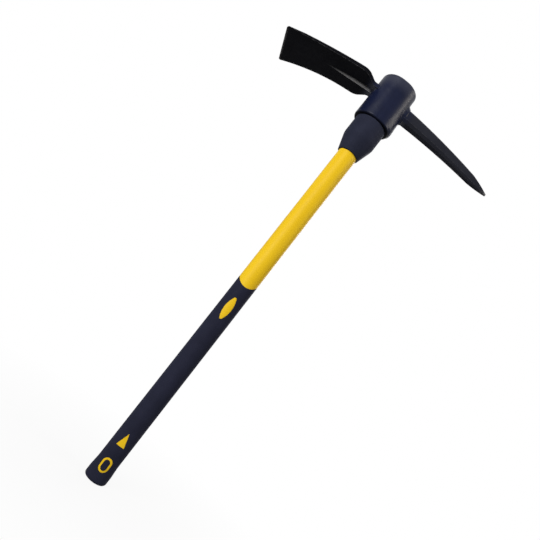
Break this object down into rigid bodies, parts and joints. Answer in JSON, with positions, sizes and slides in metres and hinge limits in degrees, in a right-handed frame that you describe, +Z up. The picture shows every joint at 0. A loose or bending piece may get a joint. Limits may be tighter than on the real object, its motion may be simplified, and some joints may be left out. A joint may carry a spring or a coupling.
{
  "type": "pick mattock",
  "caption": "Pick mattock: a black forged head with a broad adze and a pointed pick, bonded to a yellow fibreglass handle with a black grip and a flared collar.",
  "frame": {"origin": "middle of the butt's end face, on the handle's axis", "axes": "+Z up the handle to the head, +X along the pick, -X along the adze, +Y to the back"},
  "size_m": [0.378, 0.0878, 0.6965],
  "materials": {
    "head_paint": "black paint on forged steel, half gloss",
    "core_fibreglass": "drawn fibreglass, satin",
    "jacket_yellow": "moulded yellow plastic, half gloss",
    "grip_black": "soft moulded grip, matte",
    "collar_black": "soft moulded collar, matte",
    "epoxy": "cast resin, satin"
  },
  "bodies": {
    "root": {"forged_head": "head_paint", "fibreglass_core": "core_fibreglass", "handle_jacket": "jacket_yellow", "grip_sleeve": "grip_black", "head_collar": "collar_black", "epoxy_bond": "epoxy"}
  },
  "joints": []
}
